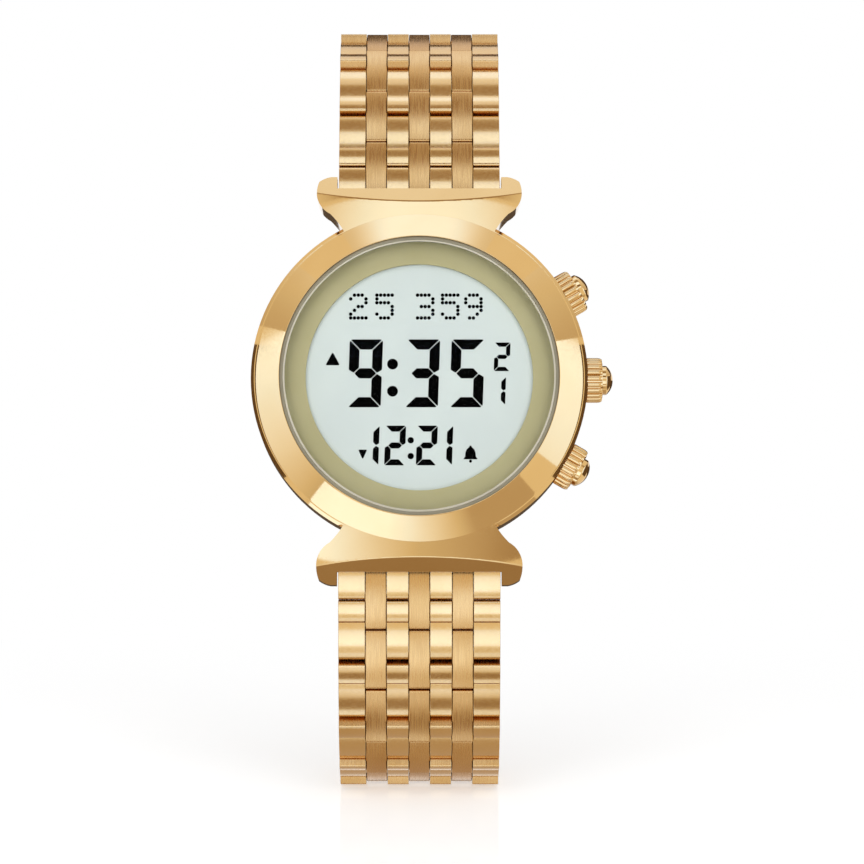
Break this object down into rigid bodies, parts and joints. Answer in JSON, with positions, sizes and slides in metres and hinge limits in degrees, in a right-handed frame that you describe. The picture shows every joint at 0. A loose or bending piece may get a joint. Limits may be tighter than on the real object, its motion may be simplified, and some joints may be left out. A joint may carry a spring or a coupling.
{
  "type": "azan prayer-time wristwatch",
  "caption": "Ladies' digital prayer-time wristwatch with a round hooded case, an LCD, side pushers and a link bracelet closed by a fold-over clasp.",
  "frame": {"origin": "on the wrist axis, level with the dial centre, 13.5 mm behind the case back", "axes": "+Z towards 12 o'clock, -Y out of the dial, +X towards 3 o'clock and the pushers"},
  "size_m": [0.0402, 0.0428, 0.0869],
  "materials": {
    "polished_gold": "polished gold-tone plating on steel",
    "brushed_gold": "brushed gold-tone plating on steel",
    "link_gold": "gold-tone plating, polished and brushed by column",
    "steel": "fine brushed stainless steel",
    "crystal_glass": "clear mineral glass",
    "gasket_rubber": "matt rubber",
    "dial_ring": "satin olive-gold paint",
    "lcd_glass": "reflective pale grey liquid crystal display",
    "white_plastic": "white diffuser",
    "zebra_rubber": "striped conductive rubber",
    "board": "green solder mask",
    "module_plastic": "black moulded plastic",
    "contact_brass": "bright brass"
  },
  "bodies": {
    "head": {"case_body": "polished_gold", "bezel": "polished_gold", "crystal": "crystal_glass", "crystal_gasket": "gasket_rubber", "dial_ring": "dial_ring", "lcd_panel": "lcd_glass", "backlight_panel": "white_plastic", "zebra_connectors": "zebra_rubber", "circuit_board": "board", "module_frame": "module_plastic", "switch_contacts": "contact_brass", "button_cell": "steel", "battery_clip": "steel", "clip_screws": "steel", "sounder_disc": "contact_brass", "case_back": "steel", "back_gasket": "gasket_rubber", "spring_bars": "steel", "pusher_collars": "polished_gold", "upper_pusher_spring": "steel", "middle_pusher_spring": "steel", "lower_pusher_spring": "steel"},
    "upper_pusher": {"upper_pusher": "polished_gold", "upper_pusher_clip": "steel"},
    "middle_pusher": {"middle_pusher": "polished_gold", "middle_pusher_clip": "steel"},
    "lower_pusher": {"lower_pusher": "polished_gold", "lower_pusher_clip": "steel"},
    "upper_link_1": {"upper_link_1": "link_gold"},
    "upper_link_2": {"upper_link_2": "link_gold"},
    "upper_link_3": {"upper_link_3": "link_gold"},
    "upper_link_4": {"upper_link_4": "link_gold"},
    "upper_link_5": {"upper_link_5": "link_gold"},
    "upper_link_6": {"upper_link_6": "link_gold"},
    "upper_link_7": {"upper_link_7": "link_gold"},
    "upper_link_8": {"upper_link_8": "link_gold"},
    "upper_link_9": {"upper_link_9": "link_gold"},
    "lower_link_1": {"lower_link_1": "link_gold"},
    "lower_link_2": {"lower_link_2": "link_gold"},
    "lower_link_3": {"lower_link_3": "link_gold"},
    "lower_link_4": {"lower_link_4": "link_gold"},
    "lower_link_5": {"lower_link_5": "link_gold"},
    "lower_link_6": {"lower_link_6": "link_gold"},
    "lower_link_7": {"lower_link_7": "link_gold"},
    "lower_link_8": {"lower_link_8": "link_gold"},
    "lower_link_9": {"lower_link_9": "link_gold"},
    "lower_link_10": {"lower_link_10": "link_gold"},
    "clasp_cover": {"clasp_cover": "brushed_gold", "clasp_spring_bar": "steel", "cover_hinge_pin": "steel"},
    "outer_blade": {"outer_blade": "brushed_gold", "blade_hinge_pin": "steel"},
    "inner_blade": {"inner_blade": "brushed_gold", "clasp_end_pins": "steel"}
  },
  "joints": [
    {"name": "upper_pusher_press", "type": "slide", "parent": "head", "child": "upper_pusher", "axis": [-0.866, 0, -0.5], "range_m": [0, 0.0007], "stiffness_N_per_m": 400, "deforming": ["upper_pusher_spring"]},
    {"name": "middle_pusher_press", "type": "slide", "parent": "head", "child": "middle_pusher", "axis": [-1, 0, 0], "range_m": [0, 0.0007], "stiffness_N_per_m": 400, "deforming": ["middle_pusher_spring"]},
    {"name": "lower_pusher_press", "type": "slide", "parent": "head", "child": "lower_pusher", "axis": [-0.866, 0, 0.5], "range_m": [0, 0.0007], "stiffness_N_per_m": 400, "deforming": ["lower_pusher_spring"]},
    {"name": "upper_link_1_hinge", "type": "hinge", "parent": "head", "child": "upper_link_1", "pos_m": [0, -0.0163, 0.01925], "axis": [1, 0, 0], "range_deg": [0, 23]},
    {"name": "upper_link_2_hinge", "type": "hinge", "parent": "upper_link_1", "child": "upper_link_2", "pos_m": [0, -0.01391, 0.02549], "axis": [1, 0, 0], "range_deg": [0, 3]},
    {"name": "upper_link_3_hinge", "type": "hinge", "parent": "upper_link_2", "child": "upper_link_3", "pos_m": [0, -0.0114, 0.03168], "axis": [1, 0, 0], "range_deg": [0, 15]},
    {"name": "upper_link_4_hinge", "type": "hinge", "parent": "upper_link_3", "child": "upper_link_4", "pos_m": [0, -0.00757, 0.03715], "axis": [1, 0, 0], "range_deg": [0, 28]},
    {"name": "upper_link_5_hinge", "type": "hinge", "parent": "upper_link_4", "child": "upper_link_5", "pos_m": [0, -0.00173, 0.04039], "axis": [1, 0, 0], "range_deg": [0, 28]},
    {"name": "upper_link_6_hinge", "type": "hinge", "parent": "upper_link_5", "child": "upper_link_6", "pos_m": [0, 0.00494, 0.04074], "axis": [1, 0, 0], "range_deg": [0, 32]},
    {"name": "upper_link_7_hinge", "type": "hinge", "parent": "upper_link_6", "child": "upper_link_7", "pos_m": [0, 0.01089, 0.03771], "axis": [1, 0, 0], "range_deg": [0, 31]},
    {"name": "upper_link_8_hinge", "type": "hinge", "parent": "upper_link_7", "child": "upper_link_8", "pos_m": [0, 0.01463, 0.03217], "axis": [1, 0, 0], "range_deg": [0, 21]},
    {"name": "upper_link_9_hinge", "type": "hinge", "parent": "upper_link_8", "child": "upper_link_9", "pos_m": [0, 0.01636, 0.02572], "axis": [1, 0, 0], "range_deg": [0, 13]},
    {"name": "lower_link_1_hinge", "type": "hinge", "parent": "head", "child": "lower_link_1", "pos_m": [0, -0.0163, -0.01925], "axis": [-1, 0, 0], "range_deg": [0, 11]},
    {"name": "lower_link_2_hinge", "type": "hinge", "parent": "lower_link_1", "child": "lower_link_2", "pos_m": [0, -0.01525, -0.02585], "axis": [-1, 0, 0], "range_deg": [0, 6]},
    {"name": "lower_link_3_hinge", "type": "hinge", "parent": "lower_link_2", "child": "lower_link_3", "pos_m": [0, -0.01375, -0.03236], "axis": [-1, 0, 0], "range_deg": [0, 20]},
    {"name": "lower_link_4_hinge", "type": "hinge", "parent": "lower_link_3", "child": "lower_link_4", "pos_m": [0, -0.01031, -0.03808], "axis": [-1, 0, 0], "range_deg": [0, 29]},
    {"name": "lower_link_5_hinge", "type": "hinge", "parent": "lower_link_4", "child": "lower_link_5", "pos_m": [0, -0.00465, -0.04162], "axis": [-1, 0, 0], "range_deg": [0, 24]},
    {"name": "lower_link_6_hinge", "type": "hinge", "parent": "lower_link_5", "child": "lower_link_6", "pos_m": [0, 0.00193, -0.04278], "axis": [-1, 0, 0], "range_deg": [0, 28]},
    {"name": "lower_link_7_hinge", "type": "hinge", "parent": "lower_link_6", "child": "lower_link_7", "pos_m": [0, 0.00835, -0.04094], "axis": [-1, 0, 0], "range_deg": [0, 29]},
    {"name": "lower_link_8_hinge", "type": "hinge", "parent": "lower_link_7", "child": "lower_link_8", "pos_m": [0, 0.01324, -0.03639], "axis": [-1, 0, 0], "range_deg": [0, 24]},
    {"name": "lower_link_9_hinge", "type": "hinge", "parent": "lower_link_8", "child": "lower_link_9", "pos_m": [0, 0.01606, -0.03033], "axis": [-1, 0, 0], "range_deg": [0, 18]},
    {"name": "lower_link_10_hinge", "type": "hinge", "parent": "lower_link_9", "child": "lower_link_10", "pos_m": [0, 0.01711, -0.02373], "axis": [-1, 0, 0], "range_deg": [0, 10]},
    {"name": "clasp_cover_hinge", "type": "hinge", "parent": "upper_link_9", "child": "clasp_cover", "pos_m": [0, 0.01682, 0.01905], "axis": [1, 0, 0], "range_deg": [0, 75]},
    {"name": "outer_blade_hinge", "type": "hinge", "parent": "clasp_cover", "child": "outer_blade", "pos_m": [0, 0.01778, -0.01249], "axis": [1, 0, 0], "range_deg": [0, 65]},
    {"name": "inner_blade_hinge", "type": "hinge", "parent": "outer_blade", "child": "inner_blade", "pos_m": [0, 0.01694, 0.01403], "axis": [-1, 0, 0], "range_deg": [0, 50]}
  ]
}
